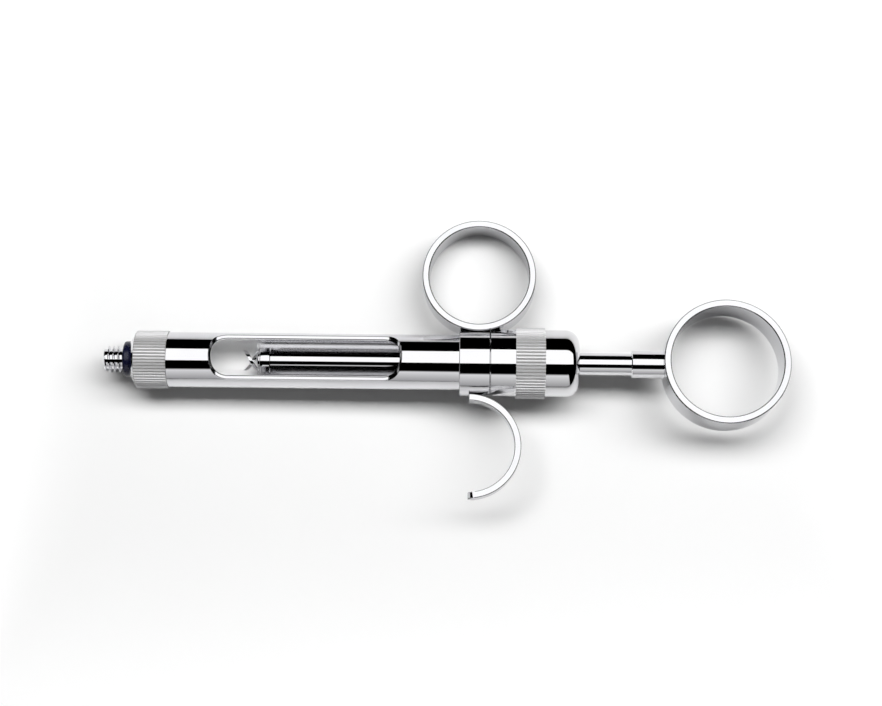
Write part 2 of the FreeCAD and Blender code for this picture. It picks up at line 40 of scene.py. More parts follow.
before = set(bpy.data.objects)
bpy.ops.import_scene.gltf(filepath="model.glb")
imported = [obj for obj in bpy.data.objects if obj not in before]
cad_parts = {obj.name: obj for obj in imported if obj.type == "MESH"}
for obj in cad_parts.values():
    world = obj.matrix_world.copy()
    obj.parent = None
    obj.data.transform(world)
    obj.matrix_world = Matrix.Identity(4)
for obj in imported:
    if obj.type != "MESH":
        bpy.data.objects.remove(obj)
log = logging.getLogger("syringe")

MM = 0.001
PHOTO_WIDTH = 882

# Within these distances two corners are welded, two places count as one, and a facet sags below its circle
WELD = 0.001
NEAR = 0.01
SAG = 0.1

Triple = tuple[float, float, float]
Colour = Triple
Point = tuple[float, float]


class Body(Enum):
    """The moving bodies that new pieces ride on."""

    BARREL = "barrel"
    HUB = "needle_hub"
    NUT = "front_nut"
    CAP = "rear_cap"
    PLUNGER = "plunger"


class Slot(Enum):
    """The material slot names passed along with new pieces; nothing reads them."""

    STEEL = "polished_steel"
    BLUE = "blue_plastic"


# Shader recipes


class Field:
    """A shader socket that can stand in a Python expression; each operator adds its Math node."""

    def __init__(self, recipe: "Recipe", socket: bpy.types.NodeSocket | None) -> None:
        """Wraps a socket.

        Args:
            recipe: the recipe that the socket belongs to.
            socket: the output to wrap, or None after a node that has none.
        """
        self.recipe = recipe
        self.socket = socket

    def _math(self, operation: str, *values: "Field | float") -> "Field":
        """Adds a Math node.

        Args:
            operation: the node's operation.
            values: its inputs, in order.

        Returns:
            The node's result.
        """
        return self.recipe.node("ShaderNodeMath", {"operation": operation}, dict(enumerate(values)))

    def __add__(self, other: "Field | float") -> "Field":
        """self + other."""
        return self._math("ADD", self, other)

    def __radd__(self, other: float) -> "Field":
        """other + self."""
        return self._math("ADD", other, self)

    def __sub__(self, other: "Field | float") -> "Field":
        """self - other."""
        return self._math("SUBTRACT", self, other)

    def __rsub__(self, other: float) -> "Field":
        """other - self."""
        return self._math("SUBTRACT", other, self)

    def __mul__(self, other: "Field | float") -> "Field":
        """self * other."""
        return self._math("MULTIPLY", self, other)

    def __rmul__(self, other: float) -> "Field":
        """other * self."""
        return self._math("MULTIPLY", other, self)

    def __truediv__(self, other: "Field | float") -> "Field":
        """self / other."""
        return self._math("DIVIDE", self, other)

    def __rtruediv__(self, other: float) -> "Field":
        """other / self."""
        return self._math("DIVIDE", other, self)

    def __pow__(self, other: "Field | float") -> "Field":
        """self ** other."""
        return self._math("POWER", self, other)

    def __rpow__(self, other: float) -> "Field":
        """other ** self."""
        return self._math("POWER", other, self)

    def __abs__(self) -> "Field":
        """abs(self)."""
        return self._math("ABSOLUTE", self)

    def at_least(self, other: "Field | float") -> "Field":
        """The larger of the two."""
        return self._math("MAXIMUM", self, other)

    def at_most(self, other: "Field | float") -> "Field":
        """The smaller of the two."""
        return self._math("MINIMUM", self, other)

    def step(self, start: float, end: float) -> "Field":
        """A smooth rise from 0 at start to 1 at end.

        Args:
            start: the value at which the result is still 0.
            end: the value at which it has reached 1.

        Returns:
            The rise, clamped to 0 and 1.
        """
        settings = {"interpolation_type": "SMOOTHSTEP"}
        sockets = {"Value": self, "From Min": start, "From Max": end, "To Min": 0.0, "To Max": 1.0}
        return self.recipe.node("ShaderNodeMapRange", settings, sockets)


def grey(level: float) -> Colour:
    """A colour with three equal parts."""
    return (level, level, level)


def rgb(colour: Colour, tint: Colour = (1.0, 1.0, 1.0)) -> tuple[float, ...]:
    """A colour with full alpha, its parts multiplied by a tint's."""
    return (*(part * share for part, share in zip(colour, tint)), 1.0)


class Recipe:
    """A node tree, a material's or the world's, and the one method that adds nodes to it."""

    def __init__(self, name: str, world: bpy.types.World | None = None) -> None:
        """Starts an empty material, or empties a world.

        Args:
            name: the material's name.
            world: the world that is to be made instead.
        """
        self.owner = world or bpy.data.materials.new(name)
        self.owner.use_nodes = True
        self.tree = self.owner.node_tree
        self.tree.nodes.clear()

    def node(self, kind: str, settings: dict | None = None, sockets: dict | None = None,
             output: int | str = 0) -> Field:
        """Adds any node.

        Args:
            kind: the node's type.
            settings: its properties, set before its sockets.
            sockets: values or fields by socket name or index.
            output: the output that the expression goes on from.

        Returns:
            The output as a field.
        """
        made = self.tree.nodes.new(kind)
        for key, value in (settings or {}).items():
            setattr(made, key, value)
        for key, value in (sockets or {}).items():
            if isinstance(value, Field):
                self.tree.links.new(value.socket, made.inputs[key])
            else:
                made.inputs[key].default_value = value
        return Field(self, made.outputs[output] if len(made.outputs) else None)

    def place(self, stretch: Triple = (1.0, 1.0, 1.0)) -> Field:
        """The object coordinates in metres, each multiplied by its share."""
        place = self.node("ShaderNodeTexCoord", output="Object")
        return self.node("ShaderNodeMapping", None, {"Vector": place, "Scale": stretch})

    def axes(self, unit: float = 1.0) -> tuple[Field, Field, Field]:
        """Splits the object coordinates.

        Args:
            unit: the unit of the results, in metres.

        Returns:
            The places along X, Y and Z.
        """
        place = self.place((1.0 / unit, 1.0 / unit, 1.0 / unit))
        split = self.node("ShaderNodeSeparateXYZ", None, {"Vector": place})
        outputs = split.socket.node.outputs
        return tuple(Field(self, outputs[i]) for i in range(3))

    def reach(self) -> Field:
        """The distance from the syringe's axis, in millimetres."""
        _, y, z = self.axes(MM)
        return (y * y + z * z) ** 0.5

    def noise(self, scale: float, detail: float = 2.0, roughness: float = 0.5,
              stretch: Triple = (1.0, 1.0, 1.0)) -> Field:
        """Smooth noise around 0.5.

        Args:
            scale: its frequency in cycles per metre.
            detail: how many octaves.
            roughness: how strong the finer octaves are.
            stretch: the share of that frequency along each axis.

        Returns:
            The noise's value.
        """
        sockets = {"Vector": self.place(stretch), "Scale": scale, "Detail": detail, "Roughness": roughness}
        return self.node("ShaderNodeTexNoise", None, sockets)

    def blend(self, share: Field | float, first: tuple | Field, second: tuple | Field) -> Field:
        """Mixes two colours.

        Args:
            share: 0 gives the first colour and 1 the second.
            first: the first colour.
            second: the second colour.

        Returns:
            The mixed colour.
        """
        return self.node("ShaderNodeMix", {"data_type": "RGBA"}, {0: share, 6: first, 7: second}, output=2)

    def mottle(self, share: Field, colour: Colour, tint: Colour) -> Field:
        """A colour that turns to its tinted shade as a share goes from 0 to 1."""
        return self.blend(share, rgb(colour), rgb(colour, tint))

    def bump(self, height: Field, strength: float, distance: float = 0.0001) -> Field:
        """Disturbs the surface's normal.

        Args:
            height: the height over the surface.
            strength: how much of it shows.
            distance: how far a height of 1 stands out, in metres.

        Returns:
            The disturbed normal.
        """
        sockets = {"Strength": strength, "Distance": distance, "Height": height}
        return self.node("ShaderNodeBump", None, sockets)

    def finish(self, shader: Field) -> bpy.types.Material:
        """Ends the material in a shader."""
        self.node("ShaderNodeOutputMaterial", None, {"Surface": shader})
        return self.owner

    def paint(self, **sockets: Field | tuple | float) -> bpy.types.Material:
        """Ends the material in a Principled shader.

        Args:
            sockets: its values or fields by socket name, with underscores for spaces.

        Returns:
            The finished material.
        """
        named = {name.replace("_", " "): value for name, value in sockets.items()}
        return self.finish(self.node("ShaderNodeBsdfPrincipled", None, named))


@dataclass(frozen=True)
class PolishedSteel:
    """Mirror-polished stainless steel: faint polishing lines, a breath of waviness and a few hair marks."""

    name: str
    colour: Colour = (0.80, 0.80, 0.815)
    roughness: float = 0.035
    cloud_tint: Colour = (0.97, 0.97, 0.975)
    line_roughness: float = 0.02
    line_height: float = 0.08
    mark_roughness: float = 0.03
    waviness: float = 0.02

    def make(self) -> bpy.types.Material:
        """Builds the material.

        Returns:
            The finished material.
        """
        recipe = Recipe(self.name)
        clouds = recipe.noise(scale=60.0)
        lines = recipe.noise(scale=900.0, detail=3.0, roughness=0.6)
        hairs = recipe.noise(scale=2600.0, detail=1.0, stretch=(1.0, 0.12, 0.12))
        marks = hairs.step(0.70, 0.78)
        waves = recipe.noise(scale=220.0, detail=1.0)
        return recipe.paint(
            Base_Color=recipe.mottle(clouds.step(0.35, 0.65), self.colour, self.cloud_tint), Metallic=1.0,
            Roughness=self.roughness + lines * self.line_roughness + marks * self.mark_roughness,
            Normal=recipe.bump(waves + lines * self.line_height, self.waviness, distance=0.0002))


@dataclass(frozen=True)
class PaintedEdgeReflectionSteel(PolishedSteel):
    """Darker, softer steel for a strip's broken edges; the darker colour is a painted dark reflection of the
    surroundings.
    """

    # Painted reflection: the dark colour stands in for the dark surroundings that the edges reflect.
    colour: Colour = (0.34, 0.34, 0.35)
    roughness: float = 0.2


@dataclass(frozen=True)
class KnurledSteel:
    """Steel with cut flutes: crests in painted light, and darker, rougher cuts between them in painted shade.

    The band starts just below the flutes' bottoms. What lies deeper is plain polished steel.
    """

    name: str
    crest: float
    depth: float
    colour: Colour = (0.80, 0.80, 0.81)
    # The cuts' tint is painted shade.
    painted_cut_shade_tint: Colour = (0.52, 0.51, 0.50)
    band_start: Point = (0.04, 0.01)
    roughness: float = 0.035
    cut_roughness: float = 0.32
    crest_polish: float = 0.08
    grain_share: float = 0.15
    grain_roughness: float = 0.08
    dullness: float = 0.5

    def make(self) -> bpy.types.Material:
        """Builds the material.

        Returns:
            The finished material.
        """
        recipe = Recipe(self.name)
        reach = recipe.reach()
        root = self.crest - self.depth
        band = reach.step(*(root - below for below in self.band_start))
        height = reach.step(root, self.crest)
        grain = recipe.noise(scale=1500.0, detail=3.0, roughness=0.65, stretch=(4.0, 1.0, 1.0))
        # Painted light on the crests and painted shade in the cuts, with a little real grain mixed in.
        crest_light_and_grain = height * (1.0 - self.grain_share) + grain * self.grain_share
        bright = crest_light_and_grain.at_least(1 - band)
        rough = self.cut_roughness - height * self.crest_polish + grain * self.grain_roughness
        return recipe.paint(
            Base_Color=recipe.mottle(1 - bright, self.colour, self.painted_cut_shade_tint),
            Metallic=1.0 - band * self.dullness, Roughness=self.roughness + band * rough,
            Normal=recipe.bump(grain * band, strength=0.12, distance=0.0002))


@dataclass(frozen=True)
class SatinSteel:
    """Bored or reamed steel: fine rings of tool marks and a soft, blurred shine."""

    name: str = "satin_steel"
    colour: Colour = (0.78, 0.78, 0.79)
    cloud_tint: Colour = grey(0.94)
    roughness: float = 0.30
    ring_roughness: float = 0.08

    def make(self) -> bpy.types.Material:
        """Builds the material.

        Returns:
            The finished material.
        """
        recipe = Recipe(self.name)
        rings = recipe.noise(scale=6000.0, roughness=0.6, stretch=(1.0, 0.05, 0.05))
        clouds = recipe.noise(scale=200.0)
        return recipe.paint(
            Base_Color=recipe.mottle(clouds, self.colour, self.cloud_tint), Metallic=1.0,
            Roughness=self.roughness + rings * self.ring_roughness, Normal=recipe.bump(rings, strength=0.05))


@dataclass(frozen=True)
class WindowedSteel:
    """The tube's steel: a mirror outside, milled flats round the window and a bore whose front is painted
    light.

    Edges and rims are where one surface gives way to the next, as distances from the bore or from the skin.
    The rims are painted dark, a painted reflection of the dark surroundings in the window's edges.
    The bore's front is near white, matt and hardly metallic, painted light standing in for the lit bench that
    an opening on the tube's far side would show. It ends between two places along X.
    """

    radius: float
    bore: float
    name: str = "tube_steel"
    colour: Colour = (0.80, 0.80, 0.815)
    cloud_tint: Colour = (0.97, 0.97, 0.975)
    bore_edge: Point = (0.10, 0.02)
    skin_edge: Point = (0.01, 0.03)
    inner_rim: Point = (0.23, 0.19)
    outer_rim: Point = (0.19, 0.16)
    outer_rim_share: float = 0.7
    # Painted reflection: the dark colour of the window's rims.
    rim_painted_reflection_colour: Colour = (0.09, 0.09, 0.095)
    mirror: float = 0.035
    milled: float = 0.12
    satin: float = 0.14
    matt: float = 0.5
    matt_metal: float = 0.15
    # Painted light: the near-white tone of the bore's front.
    front_painted_light_colour: Colour = grey(0.95)
    matt_end: Point = (29.5, 26.5)
    grain_roughness: float = 0.02

    def make(self) -> bpy.types.Material:
        """Builds the material.

        Returns:
            The finished material.
        """
        recipe = Recipe(self.name)
        reach = recipe.reach()
        inside = reach.step(*(self.bore + above for above in self.bore_edge))
        wall = reach.step(*(self.radius - below for below in self.skin_edge)) * (1 - inside)
        inner_rim = reach.step(*(self.bore + above for above in self.inner_rim)) * wall
        outer_rim = reach.step(*(self.radius - below for below in self.outer_rim)) * wall
        # Painted reflection: dark lines along the inner and outer rims of the window's flats.
        rims = inner_rim.at_least(outer_rim * self.outer_rim_share)
        # Painted light: the bore's front turns near white and hardly metallic.
        front = inside * recipe.axes(MM)[0].step(*self.matt_end)
        grain = recipe.noise(scale=1800.0, roughness=0.6, stretch=(0.4, 3.0, 3.0))
        clouds = recipe.noise(scale=60.0)
        steel = recipe.mottle(clouds.step(0.35, 0.65), self.colour, self.cloud_tint)
        tone = recipe.blend(front, steel, rgb(self.front_painted_light_colour))
        rough = self.mirror + inside * (self.satin - self.mirror) + wall * (self.milled - self.mirror)
        rough = rough + front * (self.matt - self.satin) + grain * self.grain_roughness
        return recipe.paint(
            Base_Color=recipe.blend(rims, tone, rgb(self.rim_painted_reflection_colour)),
            Metallic=1.0 - front * (1.0 - self.matt_metal), Roughness=rough,
            Normal=recipe.bump(grain * (inside + wall), strength=0.03))


@dataclass(frozen=True)
class MouldedPlastic:
    """Glossy moulded plastic with a very fine pebbled skin."""

    name: str = "navy_plastic"
    colour: Colour = (0.003, 0.004, 0.02)
    cloud_tint: Colour = grey(1.5)
    roughness: float = 0.22
    pebble_roughness: float = 0.1

    def make(self) -> bpy.types.Material:
        """Builds the material.

        Returns:
            The finished material.
        """
        recipe = Recipe(self.name)
        pebbles = recipe.noise(scale=3500.0)
        clouds = recipe.noise(scale=300.0)
        return recipe.paint(
            Base_Color=recipe.mottle(clouds, self.colour, self.cloud_tint),
            Roughness=self.roughness + pebbles * self.pebble_roughness,
            Normal=recipe.bump(pebbles, strength=0.05))


@dataclass(frozen=True)
class SealRubber:
    """Matt black rubber with a dusty bloom."""

    name: str = "black_rubber"
    colour: Colour = (0.012, 0.012, 0.013)
    bloom_tint: Colour = grey(3.0)
    roughness: float = 0.55
    bloom_roughness: float = 0.2

    def make(self) -> bpy.types.Material:
        """Builds the material.

        Returns:
            The finished material.
        """
        recipe = Recipe(self.name)
        bloom = recipe.noise(scale=900.0, detail=4.0, roughness=0.6)
        return recipe.paint(
            Base_Color=recipe.mottle(bloom.step(0.45, 0.75), self.colour, self.bloom_tint),
            Roughness=self.roughness + bloom * self.bloom_roughness,
            Normal=recipe.bump(bloom, strength=0.15))


@dataclass(frozen=True)
class TurnedMetal:
    """Plain metal straight from the lathe, with rings of fine tool marks."""

    name: str = "turned_brass"
    colour: Colour = (0.78, 0.58, 0.26)
    roughness: float = 0.22
    stain_tint: Colour = grey(0.82)
    ring_roughness: float = 0.12

    def make(self) -> bpy.types.Material:
        """Builds the material.

        Returns:
            The finished material.
        """
        recipe = Recipe(self.name)
        rings = recipe.noise(scale=9000.0, roughness=0.6, stretch=(1.0, 0.02, 0.02))
        stain = recipe.noise(scale=250.0, detail=3.0)
        return recipe.paint(
            Base_Color=recipe.mottle(stain.step(0.4, 0.7), self.colour, self.stain_tint), Metallic=1.0,
            Roughness=self.roughness + rings * self.ring_roughness,
            Normal=recipe.bump(rings, strength=0.1))


def dress(node: str, material: bpy.types.Material) -> None:
    """Gives a CAD node its finish.

    Args:
        node: the node's name.
        material: the finish.
    """
    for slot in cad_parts[node].material_slots:
        slot.material = material
    log.info("%s: dressed in %s", node, material.name)


# Work pieces


def span(node: str) -> tuple[Vector, Vector]:
    """A CAD node's lowest and highest corners, in millimetres."""
    low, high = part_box(node)
    return Vector(low) / MM, Vector(high) / MM


def at(*places: float, radius: float = 0.0) -> Callable[[Vector], bool]:
    """Makes a test for what lies square to the axis, to soften only that.

    Args:
        places: the places along X.
        radius: the circle that it lies on or outside.

    Returns:
        The test of an edge's middle.
    """
    return lambda middle: (any(abs(middle.x - place) < NEAR for place in places)
                           and middle.yz.length > radius - SAG)


class Workpiece:
    """A mesh in the making, in millimetres, with the syringe's axis along X."""

    def __init__(self) -> None:
        """Starts an empty mesh."""
        self.shape = bmesh.new()

    def turn(self, outline: list[Point], steps: int = 192, closed: bool = True) -> None:
        """Turns an outline round the syringe's axis.

        Args:
            outline: its corners as (place along X, radius).
            steps: how many facets go round.
            closed: whether the last corner joins the first.
        """
        corners = [self.shape.verts.new((x, 0.0, radius)) for x, radius in outline]
        pairs = list(zip(corners, corners[1:])) + ([(corners[-1], corners[0])] if closed else [])
        edges = [self.shape.edges.new(pair) for pair in pairs]
        bmesh.ops.spin(self.shape, geom=corners + edges, cent=(0, 0, 0), axis=(1, 0, 0), angle=2 * math.pi,
                       steps=steps, use_merge=True)
        self.weld()

    def wind(self, outline: list[Point], pitch: float, turns: int, steps: int) -> None:
        """Winds one pitch of a thread's outline along the axis, so that each turn joins the next.

        Args:
            outline: the ridge's corners as (place along X, radius), one pitch long.
            pitch: the thread's pitch.
            turns: how many turns to wind.
            steps: how many facets a turn has.
        """
        corners = [self.shape.verts.new((x, 0.0, radius)) for x, radius in outline]
        edges = [self.shape.edges.new(pair) for pair in zip(corners, corners[1:])]
        bmesh.ops.spin(self.shape, geom=corners + edges, cent=(0, 0, 0), axis=(1, 0, 0),
                       dvec=(pitch / steps, 0, 0), angle=2 * math.pi * turns, steps=steps * turns)
        self.weld()

    def bend(self, section: list[Point], centre: Point, first: float, last: float, steps: int) -> None:
        """Bends a strip round an axis that stands along Z.

        Args:
            section: the strip's corners as (radius, height).
            centre: the axis's place in X and Y.
            first: the angle at which it starts, in degrees from +X.
            last: the angle at which it ends.
            steps: how many facets go round.
        """
        whole = abs(last - first) >= 360.0
        start = Matrix.Rotation(math.radians(first), 3, "Z")
        middle = Vector((*centre, 0.0))
        corners = [self.shape.verts.new(middle + start @ Vector((radius, 0.0, height)))
                   for radius, height in section]
        edges = [self.shape.edges.new(pair) for pair in zip(corners, corners[1:] + corners[:1])]
        bmesh.ops.spin(self.shape, geom=corners + edges, cent=middle, axis=(0, 0, 1),
                       angle=math.radians(last - first), steps=steps, use_merge=whole)
        self.weld()
        if not whole:
            self.close()

    def weld(self) -> None:
        """Joins corners that coincide and turns the faces outward."""
        bmesh.ops.remove_doubles(self.shape, verts=self.shape.verts, dist=WELD)
        bmesh.ops.recalc_face_normals(self.shape, faces=self.shape.faces)

    def close(self) -> None:
        """Fills the open ends."""
        open_edges = [edge for edge in self.shape.edges if edge.is_boundary]
        bmesh.ops.holes_fill(self.shape, edges=open_edges, sides=0)
        bmesh.ops.recalc_face_normals(self.shape, faces=self.shape.faces)

    def trim(self, place: float, keep: int) -> None:
        """Saws the piece off square to the axis.

        Args:
            place: the cut's place along X.
            keep: 1 keeps what lies toward +X and -1 what lies toward -X.
        """
        everything = list(self.shape.verts) + list(self.shape.edges) + list(self.shape.faces)
        bmesh.ops.bisect_plane(self.shape, geom=everything, dist=WELD / 2, plane_co=(place, 0, 0),
                               plane_no=(-keep, 0, 0), clear_outer=True)

    def bridge(self, place: float) -> None:
        """Joins the two open rims that lie at one place along X."""
        rims = [edge for edge in self.shape.edges
                if edge.is_boundary and all(abs(end.co.x - place) < NEAR for end in edge.verts)]
        bmesh.ops.bridge_loops(self.shape, edges=rims)

    def reshape(self, surface: Callable[[Vector], float], keep_inside: bool = True) -> None:
        """Brings every corner that stands proud of a surface round the axis back to it.

        Args:
            surface: the surface's radius at a corner's place.
            keep_inside: True cuts what stands outside the surface, False presses out what lies inside it.
        """
        for corner in self.shape.verts:
            radius = math.hypot(corner.co.y, corner.co.z)
            wanted = surface(corner.co)
            if radius > 0.0 and (radius > wanted) == keep_inside:
                corner.co.y *= wanted / radius
                corner.co.z *= wanted / radius

    def soften(self, width: float, segments: int = 2, sharper: float = 30.0,
               where: Callable[[Vector], bool] | None = None, second_finish: bool = False) -> None:
        """Rounds the edges at which faces meet at more than an angle.

        Args:
            width: how far the rounding reaches from the edge.
            segments: how many facets it has.
            sharper: the least angle in degrees.
            where: a test of an edge's middle, for some edges only.
            second_finish: whether the new facets take the piece's second finish.
        """
        least = math.radians(sharper)
        edges = [edge for edge in self.shape.edges
                 if len(edge.link_faces) == 2 and edge.calc_face_angle() > least
                 and (where is None or where((edge.verts[0].co + edge.verts[1].co) / 2))]
        bmesh.ops.bevel(self.shape, geom=edges, offset=width, offset_type="OFFSET", segments=segments,
                        profile=0.5, affect="EDGES", material=1 if second_finish else -1, clamp_overlap=True)

    def finish(self, name: str, body: Body, node: str, slot: Slot, *materials: bpy.types.Material,
               sharp: float = 50.0) -> None:
        """Brings the piece into the scene in place of a CAD node.

        Args:
            name: the piece's name.
            body: the body that it rides on.
            node: the CAD node that it stands for.
            slot: not used.
            materials: its finish, and a second one where its broken edges have their own, a painted dark
                reflection.
            sharp: edges sharper than this many degrees stay crisp.
        """
        self.weld()
        bmesh.ops.scale(self.shape, vec=(MM, MM, MM), verts=self.shape.verts)
        mesh = bpy.data.meshes.new(name)
        self.shape.to_mesh(mesh)
        self.shape.free()
        mesh.shade_smooth()
        mesh.set_sharp_from_angle(angle=math.radians(sharp))
        for material in materials:
            mesh.materials.append(material)
        piece = bpy.data.objects.new(name, mesh)
        bpy.context.scene.collection.objects.link(piece)
        even = piece.modifiers.new("even_normals", "WEIGHTED_NORMAL")
        even.keep_sharp = True
        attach(piece, body.value)
        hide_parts(node)
        log.info("%s: %d faces", name, len(mesh.polygons))


@dataclass
class Flutes:
    """Straight flutes round a turned band, the first one at +Z."""

    count: int
    crest: float
    depth: float
    width: float
    facets: int = 6

    @property
    def steps(self) -> int:
        """How many facets go round the band."""
        return self.count * self.facets

    def radius(self, place: Vector) -> float:
        """The fluted band's radius at a place.

        Args:
            place: any point.

        Returns:
            The crest's radius, less the flute's depth there.
        """
        pitch = 2 * math.pi / self.count
        angle = math.atan2(place.y, place.z) % pitch
        off = min(angle, pitch - angle) * self.crest / (self.width / 2)
        return self.crest - self.depth * math.cos(math.pi / 2 * min(off, 1.0)) ** 2


@dataclass
class NeedleEnd:
    """What carries the needle: the threaded hub, its washer and the union nut that holds it.

    The ridge is one turn of the thread's outline, as shares of its pitch and of its height.
    """

    pitch: float = 1.05
    thread_root: float = 2.2
    thread_crest: float = 2.9
    ridge: tuple[Point, ...] = ((0.0, 0.0), (0.22, 0.0), (0.47, 1.0), (0.60, 1.0), (0.85, 0.0), (1.0, 0.0))
    ridge_shift: float = 0.42
    thread_turns: int = 6
    thread_steps: int = 64
    lead_in: float = 1.0
    neck: float = 3.2
    flange_front: float = 3.65
    flange_back: float = 5.15
    flange: float = 4.8
    boss: float = 2.1
    bore: float = 1.1
    mouth: float = 1.8
    mouth_depth: float = 0.7
    washer_round: float = 0.5
    nut_face: float = 4.1
    nut_cone: float = 1.4
    nut_wall: float = 2.2
    skirt_bore: float = 5.45
    flute_count: int = 56
    flute_depth: float = 0.28
    flute_width: float = 0.54
    fit: float = 0.05
    edge: float = 0.12
    crisp_hub: float = 35.0
    crisp_flutes: float = 24.0

    def make_hub(self) -> None:
        """Cuts the hub's thread and turns its flange, boss and bore."""
        low, high = span("needle_hub")
        work = Workpiece()
        rise = self.thread_crest - self.thread_root
        first = low.x - (1.0 + self.ridge_shift) * self.pitch
        ridge = [(first + share * self.pitch, self.thread_root + lift * rise) for share, lift in self.ridge]
        work.wind(ridge, self.pitch, self.thread_turns, self.thread_steps)
        work.trim(low.x, 1)
        work.trim(0.0, -1)
        work.reshape(lambda place: self.thread_root + (place.x - low.x) * self.lead_in)
        work.turn([(0.0, self.neck), (self.flange_front, self.neck), (self.flange_front, self.flange),
                   (self.flange_back, self.flange), (self.flange_back, self.boss), (high.x, self.boss),
                   (high.x, self.bore), (low.x + self.mouth_depth, self.bore), (low.x, self.mouth)],
                  self.thread_steps, closed=False)
        work.bridge(0.0)
        work.bridge(low.x)
        work.finish("threaded_hub", Body.HUB, "needle_hub", Slot.STEEL, PolishedSteel("hub_steel").make(),
                    sharp=self.crisp_hub)

    def make_washer(self) -> None:
        """Turns the washer, whose front is well rounded."""
        low, high = span("hub_washer")
        bore = self.neck + self.fit / 2
        work = Workpiece()
        work.turn([(low.x, bore), (low.x, high.y), (high.x, high.y), (high.x, bore)])
        work.soften(self.washer_round, segments=5, where=at(low.x, radius=high.y))
        work.soften(self.edge, where=at(high.x))
        work.finish("navy_washer", Body.HUB, "hub_washer", Slot.BLUE, MouldedPlastic().make())

    def make_nut(self) -> None:
        """Turns the nut's cone and skirt and cuts its flutes."""
        low, high = span("front_nut")
        crest = high.z
        flutes = Flutes(self.flute_count, crest, self.flute_depth, self.flute_width)
        band = low.x + self.nut_cone
        inside = low.x + self.nut_wall
        bore = self.neck + self.fit
        run_out = flutes.depth * self.nut_cone / (crest - self.nut_face)
        work = Workpiece()
        work.turn([(low.x, bore), (low.x, self.nut_face), (band - run_out, crest - flutes.depth),
                   (band, crest), (high.x, crest), (high.x, self.skirt_bore), (inside, self.skirt_bore),
                   (inside, bore)], flutes.steps)
        work.soften(self.edge, where=at(low.x, high.x))
        work.reshape(lambda place: flutes.radius(place) if place.x > band - NEAR else crest)
        work.finish("fluted_nut", Body.NUT, "front_nut", Slot.STEEL,
                    KnurledSteel("nut_steel", crest, flutes.depth).make(), sharp=self.crisp_flutes)

    def make(self) -> None:
        """Makes the three pieces."""
        self.make_hub()
        self.make_washer()
        self.make_nut()


@dataclass
class Barrel:
    """The windowed tube, its pressed-in spigot and the two seals, which keep the CAD's own meshes."""

    radius: float = 6.0
    bore: float = 5.2
    breech_colour: Colour = grey(0.03)

    def make(self) -> None:
        """Dresses the tube with a finish for each of its machined surfaces, then its spigot and seals."""
        dress("barrel", WindowedSteel(self.radius, self.bore).make())
        dress("barrel_spigot", SatinSteel().make())
        dress("front_gasket", SealRubber().make())
        dress("breech_gasket", SealRubber("grey_seal", self.breech_colour).make())


